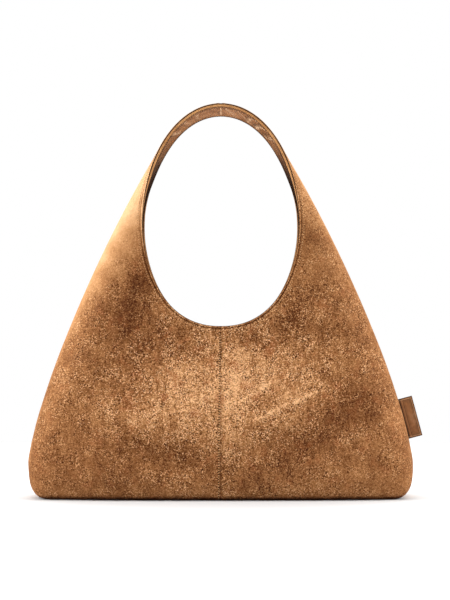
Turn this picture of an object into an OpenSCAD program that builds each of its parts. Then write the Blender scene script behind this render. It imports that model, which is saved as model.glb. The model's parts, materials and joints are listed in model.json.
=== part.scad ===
// Hobo shoulder bag: a suede shell that runs up both sides into one handle,
// leather facings, fabric lining, base board, two hanging pockets and a
// magnetic closure tab. Millimetres, +Z up, origin on the floor under the
// middle of the base. -Y is the front.
//
// Every layer follows one master skin. A point of the skin is found from
// t, which runs along the outline from the middle of the base (0) to the top
// of the handle (1), and w, which runs from the edge of the arm opening (0)
// round the section to the side seam (1).

/* [Shell] */
// Width across the lower corners
body_w = 440; // [430:2:460]
// Height to the crown of the handle
bag_h = 453; // [446:0.5:460]
// Depth of the base
base_d = 112; // [104:2:120]
// Thickness of the suede
suede_t = 1.6; // [1.2:0.1:1.6]

/* [Arm opening] */
// Width of the arm opening
opening_w = 181; // [176:1:184]
// Height of the lowest point of the opening's edge
mouth_z = 195.5; // [192:0.5:199]
// Height of the opening's widest place
opening_mid_z = 314; // [312:0.5:316]
// Width of the handle strap at its top
strap_w = 58; // [54:1:60]
// Gap between front and back edges at the mouth
mouth_gap = 48; // [44:1:50]

/* [Lining and facings] */
// Width of the leather facing round the mouth
facing_w = 32; // [28:1:36]
// Thickness of the lining fabric
lining_t = 0.6; // [0.5:0.1:0.6]
// Width of the hanging pockets
pocket_w = 200; // [190:2:204]

/* [Closure tab] */
// Width of the closure tabs
tab_w = 34; // [30:1:36]
// Diameter of the magnetic snap
snap_d = 18; // [16:1:19]

/* [Side label] */
// Height of the label along the seam
label_h = 47; // [40:0.5:50]
// How far the label stands out
label_out = 15; // [10:0.5:16]

/* [Handle fold] */
// Height of the line that the handle folds on
fold_z = 337; // [335:0.5:339]
// Radius of the rounded joint in each handle leg
fold_r = 36; // [35:0.5:37]

/* [Hidden] */

half_w = body_w / 2;
half_base = base_d / 2;
half_gap = mouth_gap / 2;
half_strap = strap_w / 2;
opening_a = opening_w / 2;
opening_low = opening_mid_z - mouth_z;
crown = 1.5;
opening_up = bag_h - crown - opening_mid_z;
opening_square = 0.2;

// Depth of each layer below the skin
stay_in = suede_t + 0.2;
stay_t = 1;
facing_in = stay_in + stay_t + 0.2;
facing_t = 1.2;
lining_in = facing_in + 0.4;
board_in = suede_t + 0.2;
board_t = lining_in - board_in - 0.2;

// Outline: flat base, rounded corner, long side, handle arch
base_end = half_w - 25;
corner_top = [half_w, 42];
side_top = [78.5, bag_h - 61];
corner = [[base_end, 0], [half_w - 8, 0], [half_w - 0.5, 14], corner_top];
side = [corner_top, [half_w - 9.5, 128], [134.5, side_top[1] - 91.5], side_top];
arch = [side_top, [61, side_top[1] + 26], [47, bag_h], [0, bag_h]];
corner_t = 0.24;
side_t = 0.36;
arch_t = 0.78;

// How the section changes with the angle round the opening, in degrees from
// straight down: [angle, value] pairs
edge_y = [[0, half_gap], [40, 22], [80, 20], [110, 22], [145, half_strap - 1], [180, half_strap]];
belly_y = [[0, half_base], [22, half_base - 1], [34, half_base - 7], [46, 45], [58, 40],
    [72, 33], [90, 25], [120, 16], [145, 13], [180, 12]];
swell = [[0, 12], [34, 9], [50, 6], [66, 3], [90, 0], [180, 0]];
round_out = [[0, 0.14], [28, 0.17], [38, 0.33], [50, 0.55], [70, 0.85], [90, 1], [180, 1]];
round_in = [[0, 0.35], [26, 0.4], [34, 0.5], [42, 0.85], [52, 0.95], [70, 1], [180, 1]];

// Grid sizes of the shell layers
flat_steps = 5;
round_steps = 6;
side_steps = 17;
body_steps = flat_steps + round_steps + side_steps;
handle_steps = 14;
panel_steps = 12;
lining_steps = 9;
band_steps = 3;
strap_steps = 5;
joint_gap = 0.5;
cut_guess = 0.675;

// ---------------------------------------------------------------- functions
function lerp(a, b, f) = a + (b - a) * f;
function bezier(p, u) = (1 - u) ^ 3 * p[0] + 3 * u * (1 - u) ^ 2 * p[1]
    + 3 * u ^ 2 * (1 - u) * p[2] + u ^ 3 * p[3];

// Smooth curve through [x, y] pairs, level at both ends
function slope(k, i) = i == 0 || i == len(k) - 1 ? 0
    : (k[i + 1][1] - k[i - 1][1]) / (k[i + 1][0] - k[i - 1][0]);
function track_at(k, x, i) =
    let (h = k[i + 1][0] - k[i][0], u = (x - k[i][0]) / h)
    (2 * u ^ 3 - 3 * u ^ 2 + 1) * k[i][1] + (u ^ 3 - 2 * u ^ 2 + u) * h * slope(k, i)
    + (3 * u ^ 2 - 2 * u ^ 3) * k[i + 1][1] + (u ^ 3 - u ^ 2) * h * slope(k, i + 1);
function track(k, x, i = 0) = x <= k[i + 1][0] || i == len(k) - 2
    ? track_at(k, x, i) : track(k, x, i + 1);

function outline(t) = t < corner_t ? [base_end * t / corner_t, 0]
    : t < side_t ? bezier(corner, (t - corner_t) / (side_t - corner_t))
    : t < arch_t ? bezier(side, (t - side_t) / (arch_t - side_t))
    : bezier(arch, (t - arch_t) / (1 - arch_t));
function angle(t) = let (o = outline(t)) atan2(o[0], opening_mid_z - o[1]);
// The opening's edge is an ellipse, a little squarer towards its lowest point
function edge_radius(a) =
    let (n = a < 90 ? 2 + opening_square * cos(a) ^ 2 : 2,
        high = a < 90 ? opening_low : opening_up)
    ((abs(sin(a)) / opening_a) ^ n + (abs(cos(a)) / high) ^ n) ^ (-1 / n);

// Corner points of the section at t: edge, start and end of the rounding, seam
function section(t) =
    let (a = angle(t), o = outline(t),
        reach = norm([o[0], opening_mid_z - o[1]]) - edge_radius(a),
        p0 = [0, -track(edge_y, a)], k = [reach, -track(belly_y, a)], p1 = [reach, 0],
        s = lerp(k, p0, min(1, track(round_out, a))), e = lerp(k, p1, min(1, track(round_in, a))),
        l0 = norm(p0 - s), l1 = 0.8 * (norm(s - k) + norm(e - k)), l2 = norm(e - p1))
    [a, p0, k, p1, s, e, l0, l1, l2, reach];
function section_length(t) = let (c = section(t)) c[6] + c[7] + c[8];
function section_point(c, w) =
    let (l = w * (c[6] + c[7] + c[8]), p0 = c[1], k = c[2], s = c[4], e = c[5])
    l < c[6] ? lerp(p0, s, l / c[6])
    : l <= c[6] + c[7] ? bezier([s, lerp(s, k, 0.55), lerp(e, k, 0.55), e], (l - c[6]) / c[7])
    : lerp(e, c[3], (l - c[6] - c[7]) / c[8]);

// Point of the master skin, front right quarter
function skin(t, w) =
    let (c = section(t), q = section_point(c, w), a = c[0],
        share = max(0, min(1, q[0] / c[9])),
        y = q[1] - track(swell, a) * sin(180 * share ^ 0.85) ^ 2,
        r = edge_radius(a) + q[0])
    [r * sin(a), y, opening_mid_z - r * cos(a)];

// The same point moved inwards by d, square to the skin
function layer(t, w, d) =
    let (dt = 0.001, dw = 0.01, p = skin(t, w),
        across = skin(min(1, t + dt), w) - skin(max(0, t - dt), w),
        along = skin(t, min(1, w + dw)) - skin(t, max(0, w - dw)),
        n = cross(along, across), q = p - n / norm(n) * d)
    [t <= 0 || t >= 1 ? 0 : q[0], w >= 1 ? 0 : q[1], q[2]];

// Front half for v up to 1, back half for v from 1 to 2
function strap_layer(t, v, d) = v <= 1 ? layer(t, v, d)
    : let (q = layer(t, 2 - v, d)) [q[0], -q[1], q[2]];

// Where a line of constant v meets the rounded joint of the handle
function joint_side(p, r) = p[2] - fold_z + sqrt(max(0, r ^ 2 - p[1] ^ 2));
function joint_t(v, d, r, lo = side_t, hi = arch_t, n = 16) = n == 0 ? (lo + hi) / 2
    : let (m = (lo + hi) / 2)
    joint_side(strap_layer(m, v, d), r) < 0 ? joint_t(v, d, r, m, hi, n - 1)
    : joint_t(v, d, r, lo, m, n - 1);

// Triangles of a closed sheet with two (n + 1) by (m + 1) sides
function sheet_faces(n, m) =
    let (c = (n + 1) * (m + 1), row = m + 1)
    concat(
        [for (i = [0:n - 1], j = [0:m - 1]) let (a = i * row + j)
            each [[a, a + row, a + 1], [a + 1, a + row, a + row + 1],
                [c + a, c + a + 1, c + a + row], [c + a + 1, c + a + row + 1, c + a + row]]],
        [for (i = [0:n - 1]) let (a = i * row, b = i * row + m)
            each [[a, c + a, a + row], [a + row, c + a, c + a + row],
                [b, b + row, c + b], [b + row, c + b + row, c + b]]],
        [for (j = [0:m - 1]) let (a = j, b = n * row + j)
            each [[a, a + 1, c + a], [a + 1, c + a + 1, c + a],
                [b, c + b, b + 1], [b + 1, c + b, c + b + 1]]]);

// Rows of every body layer. Along the base they end in a round end, where
// the wall gives way to the flat base panel; above it they run to the joint.
base_round = 42;
round_t = corner_t * (1 - base_round / base_end);
function row_turn(i) = i <= flat_steps ? 0 : min(90, 90 * (i - flat_steps) / round_steps);
function row_t(i, cut) = i <= flat_steps ? round_t * i / flat_steps
    : i <= flat_steps + round_steps ? lerp(round_t, corner_t, sin(row_turn(i)))
    : lerp(corner_t, cut, (i - flat_steps - round_steps) / side_steps);
function wall_end(i) = row_turn(i) == 90 ? 1
    : let (c = section(row_t(i, 1)), w = (c[6] + c[7]) / (c[6] + c[7] + c[8]))
    1 - (1 - w) * cos(row_turn(i));
function band_end(i) = min(0.7, facing_w / section_length(row_t(i, cut_guess)));

// ------------------------------------------------------------------ modules
// Layer of the body below the handle joint; both = true spans left and right
module body_sheet(from, to, near, deep, steps, both) {
    n = body_steps;
    cut = [for (d = [near, deep]) [for (j = [0:steps])
        joint_t(lerp(from(n), to(n), j / steps), d, fold_r + joint_gap)]];
    first = both ? -n : 0;
    function place(k, i, j) =
        let (q = layer(row_t(abs(i), cut[k][j]),
            lerp(from(abs(i)), to(abs(i)), j / steps), [near, deep][k]))
        i < 0 ? [-q[0], q[1], q[2]] : q;
    polyhedron([for (k = [0, 1], i = [first:body_steps], j = [0:steps]) place(k, i, j)],
        sheet_faces(body_steps - first, steps), convexity = 8);
}

// Layer of the handle above its joint, front half only or both halves
module handle_sheet(near, deep, steps, last) {
    cut = [for (d = [near, deep]) [for (j = [0:steps])
        joint_t(last * j / steps, d, fold_r)]];
    polyhedron([for (k = [0, 1], i = [0:handle_steps], j = [0:steps])
        strap_layer(lerp(cut[k][j], 1, i / handle_steps), last * j / steps, [near, deep][k])],
        sheet_faces(handle_steps, steps), convexity = 8);
}

module quarter_panel() color("#b8834f")
    body_sheet(function(i) 0, function(i) wall_end(i), 0, suede_t, panel_steps, false);
module quarter_handle() color("#b8834f") handle_sheet(0, suede_t, strap_steps, 1);
module half_lining() color("#8a6a4c")
    body_sheet(function(i) band_end(i) + 0.01, function(i) wall_end(i),
        lining_in, lining_in + lining_t, lining_steps, true);
module half_facing() color("#a5713f")
    body_sheet(function(i) 0, function(i) band_end(i), facing_in, facing_in + facing_t,
        band_steps, true);
module half_stay() color("#d8d2c4")
    body_sheet(function(i) 0, function(i) band_end(i), stay_in, stay_in + stay_t,
        band_steps, true);
module quarter_stay() color("#d8d2c4")
    handle_sheet(stay_in, stay_in + stay_t, 2 * strap_steps, 2);
module quarter_handle_facing() color("#a5713f")
    handle_sheet(facing_in, facing_in + facing_t, 2 * strap_steps, 2);

// Footprint of the base panel, drawn in by inset
module footprint(inset) {
    n = flat_steps + round_steps;
    edge = [for (i = [0:n]) let (t = row_t(i, 1), c = cos(row_turn(i)))
        [outline(t)[0] - inset * sin(row_turn(i)), -section(t)[5][1] * c - inset * c]];
    half = concat(edge, [for (i = [n - 1:-1:0]) [edge[i][0], -edge[i][1]]]);
    polygon(concat(half, [for (i = [len(half) - 2:-1:1]) [-half[i][0], half[i][1]]]));
}
module base_layer(z, t, inset) translate([0, 0, z]) linear_extrude(t) footprint(inset);

module flat_panel(y, t, z0, z1, w = pocket_w)
    translate([-w / 2, min(y, y + t), z0]) cube([w, abs(t), z1 - z0]);

// Pocket face turned back to the pocket's rear panel along its sewn edges
module pocket_face(y, gap, z0, z1, open_top) difference() {
    flat_panel(y, gap, z0, z1);
    flat_panel(y + sign(gap) * pocket_t, gap, z0 + pocket_t,
        open_top ? z1 + 1 : z1 - pocket_t, pocket_w - 2 * pocket_t);
}

// Hanging pockets under the facings
pocket_top = mouth_z - facing_w - 2.5;
pocket_low = 38;
pocket_t = 0.6;
slip_y = -27.4;
slip_top = 140;
zip_y = 26.4;
zip_z = 144;
zip_half = 90;
window_h = 10;
coil_r = 0.6;
coil_z = 1.15;
tape_y = zip_y + pocket_t + 0.1;
tape_t = 0.5;
coil_y = tape_y + tape_t / 2;

module slip_pocket_back() color("#8a6a4c")
    flat_panel(slip_y - 2.6, -pocket_t, pocket_low, pocket_top);
module slip_pocket_front() color("#8a6a4c")
    pocket_face(slip_y, -2.6, pocket_low, slip_top, true);
module slip_pocket_binding() color("#a5713f")
    flat_panel(slip_y + 0.5, -1.6, slip_top + 0.1, slip_top + 9);
module zip_pocket_back() color("#8a6a4c")
    flat_panel(zip_y + 3.6, pocket_t, pocket_low, pocket_top);
module zip_pocket_front() color("#8a6a4c") difference() {
    pocket_face(zip_y, 3.6, pocket_low, pocket_top, false);
    translate([-zip_half - 3, zip_y - 1, zip_z - window_h / 2])
        cube([2 * zip_half + 6, pocket_t + 2, window_h]);
}
module zip_tape(side) color("#6b4f35")
    translate([-zip_half - 8, tape_y, zip_z + (side > 0 ? 1.85 : -9.85)])
        cube([2 * zip_half + 16, tape_t, 8]);
module zip_coil() color("#5a4230") for (s = [-1, 1])
    translate([-zip_half, coil_y, zip_z + s * coil_z]) rotate([0, 90, 0])
        cylinder(r = coil_r, h = 2 * zip_half, $fn = 24);
module zip_stops() color("#c9a86a") for (x = [-zip_half - 2.5, zip_half + 0.3])
    translate([x, tape_y - 0.8, zip_z - 1.75]) cube([2.2, 2.1, 3.5]);

// Slider parked at the closed end; its bridge holds the pull's cross bar
slider_x = zip_half - 9;
plate = [11, 0.9, 8];
front_plate_y = zip_y - 0.8;
pull_axis_y = front_plate_y - 1.1;
bridge_out = 3.4;
module zip_slider() color("#c9a86a") translate([slider_x, 0, zip_z]) {
    translate([-plate[0] / 2, front_plate_y, -plate[2] / 2]) cube(plate);
    translate([-plate[0] / 2, coil_y + coil_r + 0.3, -plate[2] / 2]) cube(plate);
    translate([-0.8, front_plate_y + 0.5, -0.4]) cube([1.6, 3, 0.8]);
    for (s = [-1, 1])
        translate([s * 3 - 0.5, front_plate_y - bridge_out + 0.5, -1])
            cube([1, bridge_out, 2]);
    translate([-3.5, front_plate_y - bridge_out, -1]) cube([7, 0.9, 2]);
}
pull_len = 24;
module zip_pull() color("#c9a86a") translate([slider_x, pull_axis_y, zip_z]) {
    translate([0, 0, -2.9]) cylinder(r = 0.6, h = 5.8, $fn = 24);
    for (z = [-2.9, 1.6]) translate([-5.5, -0.5, z]) cube([5.5, 1, 1.3]);
    difference() {
        translate([-5 - pull_len, -0.6, -3.5]) cube([pull_len, 1.2, 7]);
        translate([-pull_len, 1, 0]) rotate([90, 0, 0]) cylinder(r = 1.5, h = 2, $fn = 32);
    }
}

// Closure tabs bridge the mouth under the edges: the back one lifts
tab_t = 2.4;
tab_z = mouth_z - 6.5;
tab_root_y = half_gap - facing_in - facing_t - 1.5;
snap_r = snap_d / 2;
male_t = 1.5;
female_t = 3.5;
stud_r = 4.5;
washer_t = 0.8;
male_z = tab_z - tab_t / 2 - male_t;
female_z = male_z - 0.2 - female_t;
front_tab_top = female_z;
module round_tab(len, z) translate([0, 0, z]) linear_extrude(tab_t) union() {
    translate([-tab_w / 2, 0]) square([tab_w, len - tab_w / 2]);
    translate([0, len - tab_w / 2]) circle(d = tab_w, $fn = 48);
}
front_root_y = tab_root_y + 4.2;
module closure_tab_front() color("#a5713f")
    translate([0, -front_root_y, front_tab_top - tab_t]) round_tab(front_root_y + tab_w / 2, 0);
module snap_female() color("#c9a86a") translate([0, 0, female_z]) difference() {
    cylinder(r = snap_r, h = female_t, $fn = 64);
    translate([0, 0, 0.8]) cylinder(r = stud_r + 0.35, h = female_t, $fn = 48);
}
module snap_washer_front() color("#c9a86a")
    translate([0, 0, front_tab_top - tab_t - washer_t]) cylinder(r = 7, h = washer_t, $fn = 48);
module closure_tab_back() color("#a5713f") {
    translate([0, tab_root_y, tab_z - tab_t / 2]) rotate([0, 0, 180])
        round_tab(tab_root_y + tab_w / 2, 0);
    translate([-tab_w / 2, tab_root_y, tab_z]) rotate([0, 90, 0])
        cylinder(d = tab_t, h = tab_w, $fn = 32);
}
module snap_male() color("#c9a86a") {
    translate([0, 0, male_z]) cylinder(r = snap_r, h = male_t, $fn = 64);
    translate([0, 0, male_z - 2.2]) cylinder(r = stud_r, h = 2.3, $fn = 48);
}
module snap_washer_back() color("#c9a86a")
    translate([0, 0, tab_z + tab_t / 2]) cylinder(r = 7, h = washer_t, $fn = 48);

// Folded leather label in the right side seam; it bends about its root
label_t = 2.4;
label_root = [210.7 + (body_w - 440) / 2, 89.2];
label_tilt = 14.8;
module side_label() color("#8f5c33")
    translate([label_root[0], 0, label_root[1]]) rotate([0, -label_tilt, 0])
        translate([1.7, 0, -label_h / 2]) {
            cylinder(d = label_t, h = label_h, $fn = 32);
            translate([0, -label_t / 2, 0]) cube([label_out, label_t, label_h]);
        }

// ------------------------------------------------------------------- output
module to_left() mirror([1, 0, 0]) children();
module to_back() mirror([0, 1, 0]) children();

to_left() quarter_panel();  // front_panel_left
quarter_panel();  // front_panel_right
to_back() to_left() quarter_panel();  // back_panel_left
to_back() quarter_panel();  // back_panel_right
color("#a5713f") base_layer(0, suede_t, 0.3);  // base_panel
color("#3a3a3a") base_layer(board_in, board_t, 1.5);  // base_board
half_lining();  // front_lining
to_back() half_lining();  // back_lining
color("#8a6a4c")  // base_lining
    base_layer(lining_in, lining_t, 0.6);
half_facing();  // front_facing
to_back() half_facing();  // back_facing
half_stay();  // front_mouth_stay
to_back() half_stay();  // back_mouth_stay
slip_pocket_back();
slip_pocket_front();
slip_pocket_binding();
zip_pocket_back();
zip_pocket_front();
zip_tape(1);  // zip_tape_upper
zip_tape(-1);  // zip_tape_lower
zip_coil();
zip_stops();
zip_slider();
zip_pull();
closure_tab_front();
snap_female();
snap_washer_front();
closure_tab_back();
snap_male();
snap_washer_back();
to_left() quarter_handle();  // handle_front_left
quarter_handle();  // handle_front_right
to_back() to_left() quarter_handle();  // handle_back_left
to_back() quarter_handle();  // handle_back_right
to_left() quarter_stay();  // handle_stay_left
quarter_stay();  // handle_stay_right
to_left() quarter_handle_facing();  // handle_facing_left
quarter_handle_facing();  // handle_facing_right
side_label();
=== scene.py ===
"""Suede hobo bag: soft shell, facings, lining, stitching and fittings round the CAD frame."""

import json
import math

import bmesh
import bpy
import numpy as np
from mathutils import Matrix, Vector

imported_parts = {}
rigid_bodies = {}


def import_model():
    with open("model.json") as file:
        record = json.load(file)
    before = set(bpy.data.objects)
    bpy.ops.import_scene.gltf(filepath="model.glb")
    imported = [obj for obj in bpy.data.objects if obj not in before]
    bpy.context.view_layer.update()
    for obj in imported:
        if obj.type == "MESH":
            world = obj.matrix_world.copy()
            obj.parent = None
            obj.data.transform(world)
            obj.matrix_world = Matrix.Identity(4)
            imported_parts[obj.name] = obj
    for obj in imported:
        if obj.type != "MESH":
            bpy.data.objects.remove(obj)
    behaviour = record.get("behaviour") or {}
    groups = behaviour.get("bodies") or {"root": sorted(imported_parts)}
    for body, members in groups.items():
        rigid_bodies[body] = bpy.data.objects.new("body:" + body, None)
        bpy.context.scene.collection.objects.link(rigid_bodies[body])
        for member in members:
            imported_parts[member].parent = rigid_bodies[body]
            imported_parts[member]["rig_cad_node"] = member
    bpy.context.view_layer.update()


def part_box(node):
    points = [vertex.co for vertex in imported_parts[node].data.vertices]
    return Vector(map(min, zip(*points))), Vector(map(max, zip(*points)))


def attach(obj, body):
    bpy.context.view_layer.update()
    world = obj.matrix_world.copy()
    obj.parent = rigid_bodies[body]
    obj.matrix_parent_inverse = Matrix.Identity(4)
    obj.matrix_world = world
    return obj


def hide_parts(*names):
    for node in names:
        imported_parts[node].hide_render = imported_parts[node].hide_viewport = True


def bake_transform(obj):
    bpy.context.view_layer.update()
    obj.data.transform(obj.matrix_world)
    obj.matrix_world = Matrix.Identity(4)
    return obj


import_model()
MM = 0.001

# ---------------------------------------------------------------- sizes, in millimetres
HALF_W = 220.0
BAG_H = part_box("handle_front_right")[1][2] / MM
HALF_STRAP = -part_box("handle_front_right")[0][1] / MM
HALF_BASE = 56.0
HALF_GAP = 24.0
MOUTH_Z = 195.5
MID_Z = 314.0
OPENING_A = 90.5
OPENING_SQUARE = 0.2
CROWN = 1.5
OPENING_LOW = MID_Z - MOUTH_Z
OPENING_UP = BAG_H - CROWN - MID_Z

SUEDE_T = 1.6
STAY_IN, STAY_T = 1.8, 1.0
FACING_IN, FACING_T = 3.0, 1.2
LINING_IN, LINING_T = 3.4, 0.6
FACING_W = 32.0
JOIN_T = 0.675

# Outline of the bag seen from the front: base, corner, side and handle arch
BASE_END = HALF_W - 25
CORNER_TOP = (HALF_W, 42)
SIDE_TOP = (78.5, BAG_H - 61)
CORNER = np.array([(BASE_END, 0), (HALF_W - 8, 0), (HALF_W - 0.5, 14), CORNER_TOP])
SIDE = np.array([CORNER_TOP, (HALF_W - 9.5, 128), (134.5, SIDE_TOP[1] - 91.5), SIDE_TOP])
ARCH = np.array([SIDE_TOP, (61, SIDE_TOP[1] + 26), (47, BAG_H), (0, BAG_H)])
CORNER_T, SIDE_T, ARCH_T = 0.24, 0.36, 0.78
BASE_ROUND = 42.0
ROUND_T = CORNER_T * (1 - BASE_ROUND / BASE_END)

# How the section changes with the angle round the opening, in degrees from straight down
EDGE_Y = [(0, HALF_GAP), (40, 22), (80, 20), (110, 22), (145, HALF_STRAP - 1), (180, HALF_STRAP)]
BELLY_Y = [(0, HALF_BASE), (22, HALF_BASE - 1), (34, HALF_BASE - 7), (46, 45), (58, 40),
           (72, 33), (90, 25), (120, 16), (145, 13), (180, 12)]
SWELL = [(0, 12), (34, 9), (50, 6), (66, 3), (90, 0), (180, 0)]
ROUND_OUT = [(0, 0.14), (28, 0.17), (38, 0.33), (50, 0.55), (70, 0.85), (90, 1), (180, 1)]
ROUND_IN = [(0, 0.35), (26, 0.4), (34, 0.5), (42, 0.85), (52, 0.95), (70, 1), (180, 1)]


# ---------------------------------------------------------------- the master skin
def lerp(a, b, f):
    return a + (b - a) * f


def smooth(x, low, high):
    u = np.clip((x - low) / (high - low), 0, 1)
    return u * u * (3 - 2 * u)


def unit(vectors):
    return vectors / np.linalg.norm(vectors, axis=-1, keepdims=True)


def mirror(half, face):
    """Takes the front right quarter to another: half is -1 at the left, face is -1 in front."""
    return np.array([half, -face, 1.0])


def on_face(x, z, face):
    """Places for the seeded waves, far apart for the front and the back."""
    return np.stack([x, np.full(x.shape, 300.0 * face), z], -1)


def bezier(points, u):
    u = np.asarray(u)[..., None]
    p = [np.asarray(q) for q in points]
    return (1 - u) ** 3 * p[0] + 3 * u * (1 - u) ** 2 * p[1] + 3 * u ** 2 * (1 - u) * p[2] + u ** 3 * p[3]


def track(knots, x):
    """Smooth curve through (x, y) knots, level at both ends."""
    kx, ky = np.array(knots, float).T
    slopes = np.zeros(len(kx))
    slopes[1:-1] = (ky[2:] - ky[:-2]) / (kx[2:] - kx[:-2])
    i = np.clip(np.searchsorted(kx, x) - 1, 0, len(kx) - 2)
    h = kx[i + 1] - kx[i]
    u = (x - kx[i]) / h
    return ((2 * u ** 3 - 3 * u ** 2 + 1) * ky[i] + (u ** 3 - 2 * u ** 2 + u) * h * slopes[i]
            + (3 * u ** 2 - 2 * u ** 3) * ky[i + 1] + (u ** 3 - u ** 2) * h * slopes[i + 1])


def outline(t):
    t = np.asarray(t, float)
    parts = [
        np.stack([BASE_END * t / CORNER_T, 0 * t], -1),
        bezier(CORNER, (t - CORNER_T) / (SIDE_T - CORNER_T)),
        bezier(SIDE, (t - SIDE_T) / (ARCH_T - SIDE_T)),
        bezier(ARCH, (t - ARCH_T) / (1 - ARCH_T)),
    ]
    which = (t >= CORNER_T).astype(int) + (t >= SIDE_T) + (t >= ARCH_T)
    return np.choose(which[..., None], parts)


def edge_radius(angle):
    """Radius of the opening's edge: an ellipse, a little squarer towards its lowest point."""
    high = np.where(angle < 90, OPENING_LOW, OPENING_UP)
    a = np.radians(angle)
    n = 2 + np.where(angle < 90, OPENING_SQUARE * np.cos(a) ** 2, 0)
    return ((np.abs(np.sin(a)) / OPENING_A) ** n + (np.abs(np.cos(a)) / high) ** n) ** (-1 / n)


def section(t):
    """Corner points and part lengths of the section at t, in its own plane."""
    o = outline(t)
    angle = np.degrees(np.arctan2(o[..., 0], MID_Z - o[..., 1]))
    reach = np.hypot(o[..., 0], MID_Z - o[..., 1]) - edge_radius(angle)
    rim = np.stack([0 * reach, -track(EDGE_Y, angle)], -1)
    knee = np.stack([reach, -track(BELLY_Y, angle)], -1)
    seam = np.stack([reach, 0 * reach], -1)
    start = lerp(knee, rim, np.minimum(1, track(ROUND_OUT, angle))[..., None])
    end = lerp(knee, seam, np.minimum(1, track(ROUND_IN, angle))[..., None])
    length = lambda a, b: np.linalg.norm(a - b, axis=-1)
    parts = length(rim, start), 0.8 * (length(start, knee) + length(end, knee)), length(end, seam)
    return angle, reach, rim, knee, seam, start, end, parts


def section_length(t):
    """Length along the skin from the rim to the side seam."""
    return sum(section(t)[-1])


def skin(t, w):
    """Point of the front right skin: t along the outline, w from the rim round to the side seam."""
    t, w = np.broadcast_arrays(np.asarray(t, float), np.asarray(w, float))
    angle, reach, rim, knee, seam, start, end, (l0, l1, l2) = section(t)
    l = w * (l0 + l1 + l2)
    safe = lambda a: np.maximum(a, 1e-9)
    first = lerp(rim, start, np.clip(l / safe(l0), 0, 1)[..., None])
    u = np.clip((l - l0) / safe(l1), 0, 1)
    bend = bezier((start, lerp(start, knee, 0.55), lerp(end, knee, 0.55), end), u)
    last = lerp(end, seam, np.clip((l - l0 - l1) / safe(l2), 0, 1)[..., None])
    q = np.where((l < l0)[..., None], first, np.where((l <= l0 + l1)[..., None], bend, last))
    share = np.clip(q[..., 0] / reach, 0, 1)
    y = q[..., 1] - track(SWELL, angle) * np.sin(np.pi * share ** 0.85) ** 2
    r = edge_radius(angle) + q[..., 0]
    turn = np.radians(angle)
    return np.stack([r * np.sin(turn), y, MID_Z - r * np.cos(turn)], -1)


def skin_normal(t, w):
    dt, dw = 0.0012, 0.012
    across = skin(np.minimum(1, t + dt), w) - skin(np.maximum(0, t - dt), w)
    along = skin(t, np.minimum(1, w + dw)) - skin(t, np.maximum(0, w - dw))
    return unit(np.cross(along, across))


# ---------------------------------------------------------------- relief of the soft shell
def waves(p, size, seed, count=14):
    """Smooth seeded undulation of about unit height, with features of the given size."""
    rng = np.random.default_rng(seed)
    total = 0
    for _ in range(count):
        direction = rng.normal(size=3)
        direction *= rng.uniform(0.6, 1.5) / np.linalg.norm(direction)
        total = total + np.sin(p @ direction * (2 * np.pi / size) + rng.uniform(0, 2 * np.pi))
    return total / math.sqrt(count)


def fold(x, z, start, end, bow, width, height):
    """A rounded ridge, or a valley where height is negative, along a bowed line."""
    start, end = np.array(start, float), np.array(end, float)
    side = np.array([end[1] - start[1], start[0] - end[0]])
    middle = (start + end) / 2 + side / np.linalg.norm(side) * bow
    best, where = np.full(x.shape, 1e9), np.zeros(x.shape)
    for s in np.linspace(0, 1, 33):
        px, pz = (1 - s) ** 2 * start + 2 * s * (1 - s) * middle + s ** 2 * end
        d = (x - px) ** 2 + (z - pz) ** 2
        where = np.where(d < best, s, where)
        best = np.minimum(best, d)
    return height * np.exp(-best / (2 * width ** 2)) * np.sin(np.pi * np.clip(where, 0.02, 0.98)) ** 0.7


# (start, end, bow, width, height) in the plane of the face, seen from in front of it
FRONT_FOLDS = [
    ((-112, 78), (-4, 36), 12, 11, -4.8),
    ((6, 38), (158, 108), 10, 12, -5.0),
    ((-104, 100), (-8, 64), 8, 13, 2.6),
    ((12, 72), (126, 118), 8, 13, 2.6),
    ((44, 96), (110, 121), 2, 1.8, 1.2),
    ((42, 92), (110, 116), 2, 2.2, -0.9),
    ((28, 86), (118, 127), 3, 2.0, 0.9),
    ((28, 81), (118, 122), 3, 2.4, -0.7),
    ((14, 108), (62, 136), 2, 1.8, 0.8),
    ((-38, 111), (-3, 117), 1, 1.7, 1.0),
    ((-62, 98), (-24, 104), 1, 1.7, 0.7),
    ((-86, 282), (-126, 172), -6, 12, -3.6),
    ((-112, 262), (-140, 190), -4, 14, 2.0),
    ((94, 300), (120, 224), 5, 10, -2.0),
    ((-60, 196), (-96, 130), -5, 10, -1.8),
    ((66, 196), (112, 150), 5, 10, -1.8),
    ((-190, 66), (-132, 24), 6, 10, -1.8),
    ((190, 66), (132, 22), -6, 10, -1.8),
]
BACK_FOLDS = [
    ((-126, 86), (-10, 40), 10, 12, -4.2),
    ((10, 38), (118, 72), 8, 12, -3.8),
    ((-104, 112), (-14, 74), 6, 12, 2.2),
    ((-60, 130), (-8, 112), 2, 2.0, 1.0),
    ((30, 96), (92, 122), 2, 2.0, 1.0),
    ((92, 290), (124, 196), 4, 12, -2.8),
    ((-92, 288), (-122, 200), -4, 11, -2.4),
    ((188, 66), (136, 24), -6, 10, -1.8),
    ((-188, 62), (-134, 24), 6, 10, -1.8),
]


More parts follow.
